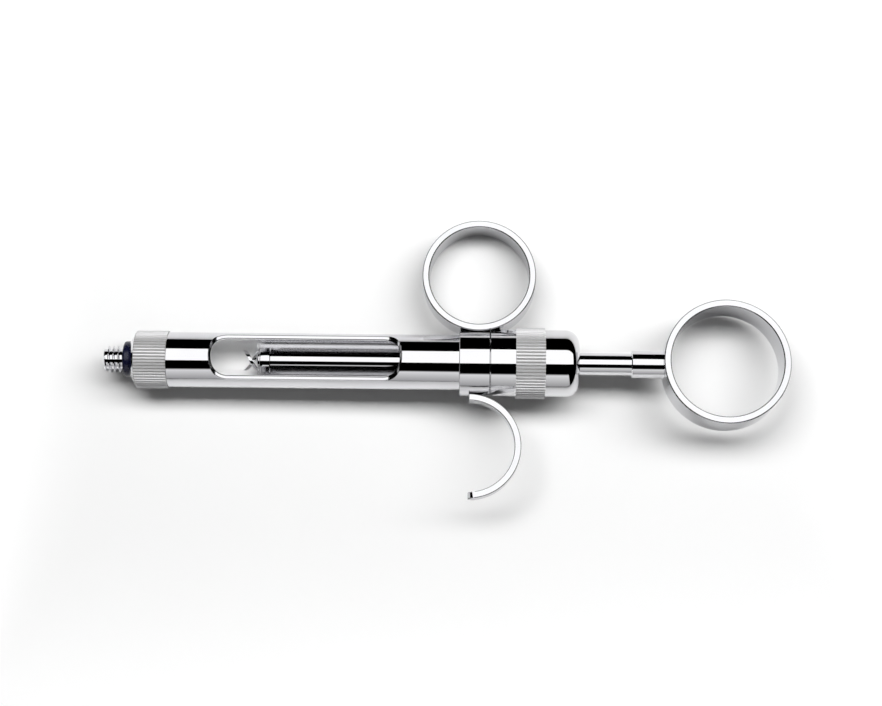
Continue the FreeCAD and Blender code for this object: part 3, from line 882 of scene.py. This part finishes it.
@dataclass
class FingerGrip:
    """The collar on the barrel with its closed ring and its open hook, all bent from flat strip."""

    edge: float = 0.2
    collar_edge: float = 0.14
    crisp: float = 25.0
    corner: float = 60.0
    collar_bore: float = 6.02
    ring_wall: float = 1.45
    ring_rows: int = 8
    hook_wall: float = 1.4
    hook_rows: int = 4
    hook_width: float = 3.5
    hook_tip: float = 1.05
    bed: float = 0.02
    steps: int = 192

    def make_collar(self, finishes: list[bpy.types.Material]) -> float:
        """Turns the collar.

        Args:
            finishes: the steel's finish and the painted dark reflection of its broken edges.

        Returns:
            The collar's radius.
        """
        low, high = span("finger_collar")
        work = Workpiece()
        work.turn([(low.x, self.collar_bore), (low.x, high.z), (high.x, high.z), (high.x, self.collar_bore)])
        work.soften(self.collar_edge, segments=1, where=at(low.x, high.x, radius=high.z), second_finish=True)
        work.finish("grip_collar", Body.BARREL, "finger_collar", Slot.STEEL, *finishes, sharp=self.crisp)
        return high.z

    def strip(self, radius: float, wall: float, width: float, rows: int) -> list[Point]:
        """A strip's section, with rows of corners across its outer face.

        Args:
            radius: the outer radius.
            wall: the strip's thickness.
            width: its width.
            rows: how many parts its outer face has.

        Returns:
            The corners as (radius, height).
        """
        half = width / 2
        outer = [(radius, -half + width * i / rows) for i in range(rows + 1)]
        return [(radius - wall, -half)] + outer + [(radius - wall, half)]

    def bed_down(self, work: Workpiece, collar: float) -> None:
        """Breaks a bent strip's edges and beds it on the collar."""
        work.soften(self.edge, segments=1, sharper=self.corner, second_finish=True)
        work.reshape(lambda place: collar + self.bed, keep_inside=False)

    def make_ring(self, finishes: list[bpy.types.Material], collar: float) -> None:
        """Bends the closed ring.

        Args:
            finishes: the steel's finish and the painted dark reflection of its broken edges.
            collar: the collar's radius.
        """
        low, high = span("finger_ring")
        radius = (high.x - low.x) / 2
        centre = ((low.x + high.x) / 2, high.y - radius)
        work = Workpiece()
        section = self.strip(radius, self.ring_wall, high.z - low.z, self.ring_rows)
        work.bend(section, centre, 0.0, 360.0, self.steps)
        self.bed_down(work, collar)
        work.finish("finger_loop", Body.BARREL, "finger_ring", Slot.STEEL, *finishes, sharp=self.crisp)

    def make_hook(self, finishes: list[bpy.types.Material], collar: float) -> None:
        """Bends the open hook and chamfers its tip.

        Args:
            finishes: the steel's finish and the painted dark reflection of its broken edges.
            collar: the collar's radius.
        """
        low, high = span("finger_hook")
        radius = high.x - low.x
        centre = (low.x, low.y + radius)
        work = Workpiece()
        section = self.strip(radius, self.hook_wall, self.hook_width, self.hook_rows)
        work.bend(section, centre, -90.0, 90.0, self.steps // 2)
        for corner in work.shape.verts:
            slope = self.hook_tip - (corner.co.x - low.x)
            if slope > 0.0 and corner.co.y < centre[1]:
                limit = self.hook_width / 2 - slope
                corner.co.z = max(-limit, min(limit, corner.co.z))
        self.bed_down(work, collar)
        work.finish("finger_rest", Body.BARREL, "finger_hook", Slot.STEEL, *finishes, sharp=self.crisp)

    def make(self) -> None:
        """Makes the collar and the two grips."""
        # The second finish paints a dark reflection on the broken edges.
        finishes = [PolishedSteel("grip_steel").make(), PaintedEdgeReflectionSteel("grip_painted_edge_reflection").make()]
        collar = self.make_collar(finishes)
        self.make_ring(finishes, collar)
        self.make_hook(finishes, collar)


@dataclass
class ScrewCap:
    """The rear cap with its fluted band, and what it holds: the bush, its clip and the rod's drag ring.

    The band, the shoulder and the clip's groove are placed from the cap's front.
    """

    radius: float = 7.25
    band_setback: float = 5.4
    band_length: float = 6.3
    end_round: float = 3.0
    mouth_bore: float = 6.05
    shoulder: float = 6.8
    bush_bore: float = 4.55
    groove_front: float = 7.6
    groove_back: float = 8.4
    groove: float = 4.95
    rear_wall: float = 2.5
    rod_bore: float = 2.45
    flute_count: int = 64
    flute_depth: float = 0.30
    flute_width: float = 0.58
    edge: float = 0.15
    crisp: float = 24.0
    clip_colour: Colour = (0.5, 0.5, 0.52)
    clip_roughness: float = 0.3

    def make_cap(self) -> None:
        """Turns the cap, rounds its end and cuts the band's flutes."""
        low, high = span("rear_cap")
        crest = high.z
        flutes = Flutes(self.flute_count, crest, self.flute_depth, self.flute_width)
        band = low.x + self.band_setback
        after = band + self.band_length
        shoulder = low.x + self.shoulder
        first, last = low.x + self.groove_front, low.x + self.groove_back
        seat = high.x - self.rear_wall
        work = Workpiece()
        work.turn([(low.x, self.mouth_bore), (low.x, self.radius), (band, self.radius), (band, crest),
                   (after, crest), (after, self.radius), (high.x, self.radius), (high.x, self.rod_bore),
                   (seat, self.rod_bore), (seat, self.bush_bore), (last, self.bush_bore), (last, self.groove),
                   (first, self.groove), (first, self.bush_bore), (shoulder, self.bush_bore),
                   (shoulder, self.mouth_bore)], flutes.steps)
        work.soften(self.end_round, segments=12, where=at(high.x, radius=self.radius))
        work.soften(self.edge, segments=3, where=at(low.x, radius=self.radius))
        work.soften(self.edge / 2, segments=1, where=at(band, after, radius=crest))
        work.reshape(lambda place: flutes.radius(place) if band - NEAR < place.x < after + NEAR else crest)
        work.finish("fluted_cap", Body.CAP, "rear_cap", Slot.STEEL,
                    KnurledSteel("cap_steel", crest, flutes.depth).make(), sharp=self.crisp)

    def make(self) -> None:
        """Makes the cap and dresses what it holds."""
        self.make_cap()
        dress("guide_bush", TurnedMetal().make())
        dress("bush_clip", TurnedMetal("spring_steel", self.clip_colour, self.clip_roughness).make())
        dress("rod_drag_ring", SealRubber("drag_rubber").make())


@dataclass
class Plunger:
    """The rod with its harpoon tip in front and the thumb ring behind."""

    edge: float = 0.2
    crisp: float = 25.0
    corner: float = 60.0
    head_bore: float = 1.22
    head_front: float = 0.15
    head_rear: float = 0.35
    flange: float = 2.3
    flange_width: float = 0.6
    shank: float = 1.2
    prong_root: float = 29.2
    prong_swing: float = 2.15
    prong_reach: float = 3.7
    prong_wire: float = 0.375
    prong_sides: int = 16
    prong_steps: int = 48
    prong_point: float = 0.9
    prong_bluntness: float = 0.25
    tip_steps: int = 96
    ring_wall: float = 1.5
    steps: int = 224

    def make_head(self, steel: bpy.types.Material) -> None:
        """Turns the head behind the tip.

        Args:
            steel: its finish.
        """
        low, high = span("plunger_head")
        work = Workpiece()
        work.turn([(low.x, self.head_bore), (low.x, high.z), (high.x, high.z), (high.x, self.head_bore)])
        work.soften(self.head_rear, segments=4, where=at(high.x, radius=high.z))
        work.soften(self.head_front, segments=2, where=at(low.x, radius=high.z))
        work.finish("rod_head", Body.PLUNGER, "plunger_head", Slot.STEEL, steel)

    def wind_prong(self, work: Workpiece, side: int) -> None:
        """Winds one prong through half a turn and points its end.

        Args:
            work: the tip's mesh.
            side: 1 or -1, the side of the axis that its root is on.
        """
        before = set(work.shape.verts)
        root = Matrix.Translation((self.prong_root, side * self.prong_swing, 0.0)) @ Matrix.Rotation(
            math.pi / 2, 4, "X")
        made = bmesh.ops.create_circle(work.shape, segments=self.prong_sides, radius=self.prong_wire,
                                       cap_ends=True, matrix=root)
        ring = made["verts"]
        faces = list(dict.fromkeys(face for corner in ring for face in corner.link_faces))
        edges = list(dict.fromkeys(edge for corner in ring for edge in corner.link_edges))
        bmesh.ops.spin(work.shape, geom=ring + edges + faces, cent=(0, 0, 0), axis=(1, 0, 0),
                       dvec=(-self.prong_reach / self.prong_steps, 0, 0), angle=-math.pi,
                       steps=self.prong_steps)
        tip_x = self.prong_root - self.prong_reach
        for corner in (corner for corner in work.shape.verts if corner not in before):
            angle = math.pi * (self.prong_root - corner.co.x) / self.prong_reach
            middle = Vector((corner.co.x, side * self.prong_swing * math.cos(angle),
                             -side * self.prong_swing * math.sin(angle)))
            share = (corner.co.x - tip_x + self.prong_wire) / self.prong_point
            if share < 1.0:
                corner.co = middle.lerp(corner.co, max(share, self.prong_bluntness))

    def make_tip(self, steel: bpy.types.Material) -> None:
        """Turns the tip's flange and shank and winds its two prongs.

        Args:
            steel: its finish.
        """
        high = span("harpoon_tip")[1]
        seat = span("plunger_head")[0].x
        face = seat - self.flange_width
        work = Workpiece()
        work.turn([(face, 0.0), (face, self.flange), (seat, self.flange), (seat, self.shank),
                   (high.x, self.shank), (high.x, 0.0)], self.tip_steps, closed=False)
        work.soften(self.flange_width / 2, segments=3, where=at(face))
        for side in (1, -1):
            self.wind_prong(work, side)
        work.finish("harpoon", Body.PLUNGER, "harpoon_tip", Slot.STEEL, steel)

    def make_ring(self, steel: bpy.types.Material) -> None:
        """Bends the thumb ring.

        Args:
            steel: its finish, apart from its broken edges', which take a painted dark reflection.
        """
        low, high = span("thumb_ring")
        radius, half = (high.x - low.x) / 2, high.z
        section = [(radius - self.ring_wall, -half), (radius, -half), (radius, half),
                   (radius - self.ring_wall, half)]
        work = Workpiece()
        work.bend(section, ((low.x + high.x) / 2, 0.0), 0.0, 360.0, self.steps)
        work.soften(self.edge, segments=1, sharper=self.corner, second_finish=True)
        # The broken edges take a painted dark reflection.
        work.finish("thumb_loop", Body.PLUNGER, "thumb_ring", Slot.STEEL, steel,
                    PaintedEdgeReflectionSteel("plunger_painted_edge_reflection").make(), sharp=self.crisp)

    def make(self) -> None:
        """Makes the head, the tip and the thumb ring, and dresses the rod and its ferrule."""
        steel = PolishedSteel("plunger_steel").make()
        self.make_head(steel)
        self.make_tip(steel)
        self.make_ring(steel)
        dress("plunger_rod", steel)
        dress("thumb_ferrule", steel)


# The bench, the camera and the lights


@dataclass
class Bench:
    """How the syringe lies: on its front nut, its rear cap's band and the finger ring's lower rim.

    The bench's own frame has its floor at z = 0, x along the syringe and z up. The part isn't moved, so the
    floor, the lights and the camera are placed in the part's frame instead. The floor's sizes are in metres.
    The camera sees the floor lifted toward white, a little beside the syringe and wholly in the far haze.
    To other rays it carries painted shade that deepens with its distance from the axis, and light that has
    bounced finds it darker still, a painted shade that keeps the syringe's shadows dark.
    """

    nut_x: float = 3.40
    nut_radius: float = 6.25
    band_x: float = 84.6
    band_radius: float = 7.675
    ring_centre: Point = (76.6, 18.7)
    ring_radius: float = 12.2
    ring_half_width: float = 3.6
    floor_size: float = 6.0
    mottle_tint: Colour = grey(0.985)
    far_tint: Colour = (1.0, 1.0, 1.005)
    roughness: float = 0.9
    shine: float = 0.1
    fade: float = 0.15
    bounce: float = 0.15
    middle: float = 0.0695
    lift: float = 0.24
    lift_depth: Point = (0.025, 0.10)
    lift_length: Point = (0.075, 0.115)
    haze: Point = (0.12, 0.8)

    def matrix(self) -> Matrix:
        """Works out the bench's frame.

        Returns:
            The matrix from the bench's frame to the part's, in metres.
        """
        slope = (self.band_radius - self.nut_radius) / (self.band_x - self.nut_x)
        reach = self.ring_centre[1] + self.ring_radius
        drop = self.nut_radius + slope * (self.ring_centre[0] - self.nut_x)
        corner = math.atan2(self.ring_half_width, reach)
        lean = math.asin(drop / math.hypot(reach, self.ring_half_width)) - corner
        up = Vector((slope, -math.sin(lean), math.cos(lean))).normalized()
        along = (Vector((1, 0, 0)) - up * up.x).normalized()
        away = up.cross(along)
        height = self.nut_radius * math.hypot(up.y, up.z) - up.x * self.nut_x
        turned = Matrix((along, away, up)).transposed().to_4x4()
        return Matrix.Translation(-up * height * MM) @ turned

    def make_floor(self) -> None:
        """Lays the pale floor."""
        mesh = bpy.data.meshes.new("floor")
        shape = bmesh.new()
        bmesh.ops.create_grid(shape, x_segments=1, y_segments=1, size=self.floor_size / 2)
        bmesh.ops.transform(shape, matrix=self.matrix(), verts=shape.verts)
        shape.to_mesh(mesh)
        shape.free()
        floor = bpy.data.objects.new("floor", mesh)
        bpy.context.scene.collection.objects.link(floor)
        mesh.materials.append(self.make_paper())

    def make_paper(self) -> bpy.types.Material:
        """Makes the floor's finish: white to the camera, and with painted shade to the steel, darker the
        further off it is.

        Returns:
            The finished material.
        """
        black, white = rgb(grey(0.0)), rgb(grey(1.0))
        recipe = Recipe("pale_bench")
        x, y, _ = recipe.axes()
        along = x - self.middle
        seen = recipe.node("ShaderNodeLightPath", output="Is Camera Ray")
        bounced = recipe.node("ShaderNodeLightPath", output="Diffuse Depth").at_most(1.0)
        # Painted shade: the floor darkens with distance from the axis for all but camera rays, and more for
        # bounced light.
        level = 1.0 / (abs(y) / self.fade + 1.0) * (1.0 - bounced * (1.0 - self.bounce))
        plain = recipe.mottle(recipe.noise(scale=30.0, detail=3.0), grey(1.0), self.mottle_tint)
        far = abs(y).step(*self.lift_depth).at_least(abs(along).step(*self.lift_length))
        remote = ((along * along + y * y) ** 0.5).step(*self.haze)
        glow = (far * self.lift + remote * (1.0 - self.lift)) * seen
        return recipe.paint(
            Base_Color=recipe.blend(seen, recipe.blend(level, black, rgb(self.far_tint)), plain),
            Roughness=self.roughness, Specular_IOR_Level=self.shine,
            Emission_Color=recipe.blend(glow, black, white), Emission_Strength=1.0)


@dataclass
class Studio:
    """An overhead softbox that steel shows, a bright band that lights the bench, black cloth and a grey card.

    Sizes are in metres and a lamp's edges are angles from straight up, in degrees.
    """

    centre: float = 0.07
    lamp_height: float = 0.60
    lamp_sides: Point = (-35.0, 60.0)
    box_edges: Point = (-6.8, 41.9)
    box_radiance: float = 1.25
    band_edges: Point = (13.0, 31.0)
    band_radiance: float = 7.8
    band_drop: float = 0.01
    tent_half_length: float = 2.4
    tent_half_depth: float = 1.5
    tent_height: float = 2.4
    tent_gap: float = 0.002
    card_depth: Point = (-1.35, -1.5)
    card_ends: Point = (0.79, 0.75)
    card_top: float = 1.35
    card_fade: float = 1.75
    card_tone: Point = (0.38, 0.45)
    card_colour: Colour = (1.0, 1.0, 1.01)
    fill: float = 0.12

    def make_lamp(self, bench: Matrix, name: str, edges: Point, radiance: float, height: float,
                  mirrored: bool) -> None:
        """Hangs a flat lamp.

        Args:
            bench: the bench's frame.
            name: the lamp's name.
            edges: its near and far edges.
            radiance: how bright it is.
            height: how high it hangs.
            mirrored: whether it is there for polished steel to show, rather than to light the bench.
        """
        near, far = (height * math.tan(math.radians(angle)) for angle in edges)
        left, right = (height * math.tan(math.radians(angle)) for angle in self.lamp_sides)
        data = bpy.data.lights.new(name, "AREA")
        data.shape = "RECTANGLE"
        data.size = right - left
        data.size_y = far - near
        data.energy = radiance * math.pi * data.size * data.size_y
        lamp = bpy.data.objects.new(name, data)
        middle = Vector((self.centre + (left + right) / 2, (near + far) / 2, height))
        lamp.matrix_world = bench @ Matrix.Translation(middle)
        lamp.visible_glossy = mirrored
        lamp.visible_diffuse = not mirrored
        bpy.context.scene.collection.objects.link(lamp)

    def make_tent(self, bench: Matrix) -> None:
        """Puts the black tent and its grey card round the bench, seen by reflections alone.

        Args:
            bench: the bench's frame.
        """
        half_height = self.tent_height / 2
        shape = bmesh.new()
        bmesh.ops.create_cube(shape, size=2.0)
        bmesh.ops.scale(shape, vec=(self.tent_half_length, self.tent_half_depth, half_height),
                        verts=shape.verts)
        bmesh.ops.translate(shape, vec=(0.0, 0.0, half_height + self.tent_gap), verts=shape.verts)
        underside = min(shape.faces, key=lambda face: face.normal.z)
        bmesh.ops.delete(shape, geom=[underside], context="FACES")
        bmesh.ops.reverse_faces(shape, faces=shape.faces)
        mesh = bpy.data.meshes.new("tent")
        shape.to_mesh(mesh)
        shape.free()
        tent = bpy.data.objects.new("tent", mesh)
        tent.matrix_world = bench @ Matrix.Translation((self.centre, 0.0, 0.0))
        bpy.context.scene.collection.objects.link(tent)
        mesh.materials.append(self.make_cloth())
        for ray in ("camera", "diffuse", "transmission", "volume_scatter", "shadow"):
            setattr(tent, "visible_" + ray, False)

    def make_cloth(self) -> bpy.types.Material:
        """Makes the tent's black cloth with the grey card on its near side.

        Returns:
            The finished material.
        """
        low_tone, rise = self.card_tone
        recipe = Recipe("tent_cloth")
        x, y, z = recipe.axes()
        card = y.step(*self.card_depth) * abs(x).step(*self.card_ends) * z.step(self.card_fade, self.card_top)
        tone = (z / self.card_top).at_most(1.0) * rise + low_tone
        black = recipe.node("ShaderNodeEmission", None, {"Color": rgb(grey(0.0))})
        pale = recipe.node("ShaderNodeEmission", None, {"Color": rgb(self.card_colour)})
        return recipe.finish(recipe.node("ShaderNodeMixShader", None, {0: card * tone, 1: black, 2: pale}))

    def make_world(self) -> None:
        """Makes the world white where it is seen, and a dim fill otherwise."""
        world = bpy.data.worlds.new("studio")
        bpy.context.scene.world = world
        recipe = Recipe("studio", world)
        seen = recipe.node("ShaderNodeLightPath", output="Is Camera Ray")
        for ray in ("Is Glossy Ray", "Is Transmission Ray"):
            seen = seen.at_least(recipe.node("ShaderNodeLightPath", output=ray))
        light = recipe.node("ShaderNodeBackground", None, {
            "Color": rgb(grey(1.0)), "Strength": seen * (1.0 - self.fill) + self.fill})
        recipe.node("ShaderNodeOutputWorld", None, {"Surface": light})

    def make(self, bench: Matrix) -> None:
        """Hangs the lamps, puts up the tent and makes the world.

        Args:
            bench: the bench's frame.
        """
        self.make_lamp(bench, "softbox", self.box_edges, self.box_radiance, self.lamp_height, True)
        self.make_lamp(bench, "band", self.band_edges, self.band_radiance, self.lamp_height - self.band_drop,
                       False)
        self.make_tent(bench)
        self.make_world()


@dataclass
class Viewpoint:
    """The photograph's camera, as it was fitted to the rings' and the tube's outlines.

    It looks at the target, given from a pivot on the axis, and then all of it is inclined round that pivot.
    """

    focal_pixels: float = 1860.9
    distance: float = 402.6
    elevation: float = 77.0
    roll: float = 0.814
    pivot: float = 77.89
    target: Point = (-9.4, 2.08)
    incline: float = 0.957
    sensor: float = 36.0
    clip: Point = (10.0, 20000.0)

    def make(self) -> None:
        """Places the camera in the part's frame."""
        rise, roll = math.radians(self.elevation), math.radians(self.roll)
        back = Vector((0.0, -math.cos(rise), math.sin(rise)))
        right = Vector((1.0, 0.0, 0.0))
        up = back.cross(right)
        across = right * math.cos(roll) + up * math.sin(roll)
        upward = up * math.cos(roll) - right * math.sin(roll)
        place = Vector((*self.target, 0.0)) + back * self.distance
        level = Matrix((across, upward, back)).transposed().to_4x4()
        level = Matrix.Translation(place * MM) @ level
        lower = Matrix.Rotation(math.radians(self.incline), 4, "Y")
        data = bpy.data.cameras.new("camera")
        data.sensor_width = self.sensor
        data.lens = self.focal_pixels * self.sensor / PHOTO_WIDTH
        data.clip_start, data.clip_end = (end * MM for end in self.clip)
        camera = bpy.data.objects.new("camera", data)
        camera.matrix_world = Matrix.Translation((self.pivot * MM, 0.0, 0.0)) @ lower @ level
        bpy.context.scene.collection.objects.link(camera)
        bpy.context.scene.camera = camera


def main() -> None:
    """Builds the scene and reports each piece."""
    logging.basicConfig(level=logging.INFO, format="%(name)s: %(message)s")
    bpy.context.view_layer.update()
    bench = Bench()
    bench.make_floor()
    Studio().make(bench.matrix())
    Viewpoint().make()
    for assembly in (NeedleEnd(), Barrel(), FingerGrip(), ScrewCap(), Plunger()):
        assembly.make()
    bpy.context.scene.view_settings.view_transform = "Standard"
    log.info("done")


if __name__ == "__main__":
    main()
